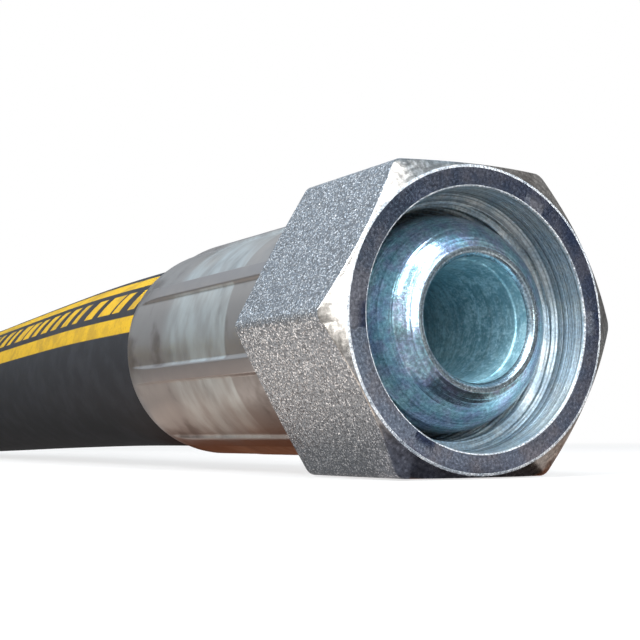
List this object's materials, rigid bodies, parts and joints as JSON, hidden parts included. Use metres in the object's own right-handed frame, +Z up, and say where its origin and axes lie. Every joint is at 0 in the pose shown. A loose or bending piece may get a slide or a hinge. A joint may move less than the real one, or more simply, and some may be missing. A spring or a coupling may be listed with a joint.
{
  "type": "hydraulic hose assembly",
  "caption": "Wire-braided rubber hydraulic hose bent in a hairpin, with a crimped ferrule, a ball-nose stem and a loose hexagonal swivel nut on each end.",
  "frame": {"origin": "centre of the near swivel nut's bottom flat, on the surface that the part lies on", "axes": "+X along the near fitting, out of its nut's mouth; +Z up; the hose makes its hairpin towards -Y"},
  "size_m": [0.3886, 0.3166, 0.036],
  "materials": {
    "blasted_zinc_nut": "zinc-plated forged steel, grit-blasted flats",
    "bright_zinc_stem": "blue-passivated bright zinc on turned steel",
    "zinc_ferrule": "satin zinc-plated steel with crimp marks",
    "cover_rubber": "matte black synthetic rubber with a yellow layline",
    "tube_rubber": "matte black nitrile rubber",
    "braid_wire": "brass-coated high-tensile wire braid"
  },
  "bodies": {
    "hose_body": {"hose_cover": "cover_rubber", "outer_braid": "braid_wire", "braid_interlayer": "tube_rubber", "inner_braid": "braid_wire", "inner_tube": "tube_rubber", "near_stem": "bright_zinc_stem", "far_stem": "bright_zinc_stem", "near_ferrule": "zinc_ferrule", "far_ferrule": "zinc_ferrule"},
    "near_nut": {"near_swivel_nut": "blasted_zinc_nut"},
    "far_nut": {"far_swivel_nut": "blasted_zinc_nut"}
  },
  "joints": [
    {"name": "near_nut_swivel", "type": "hinge", "parent": "hose_body", "child": "near_nut", "pos_m": [0, 0, 0.018], "axis": [1, 0, 0], "continuous": true},
    {"name": "far_nut_swivel", "type": "hinge", "parent": "hose_body", "child": "far_nut", "pos_m": [0.005, -0.275, 0.018], "axis": [1, 0, 0], "continuous": true}
  ]
}
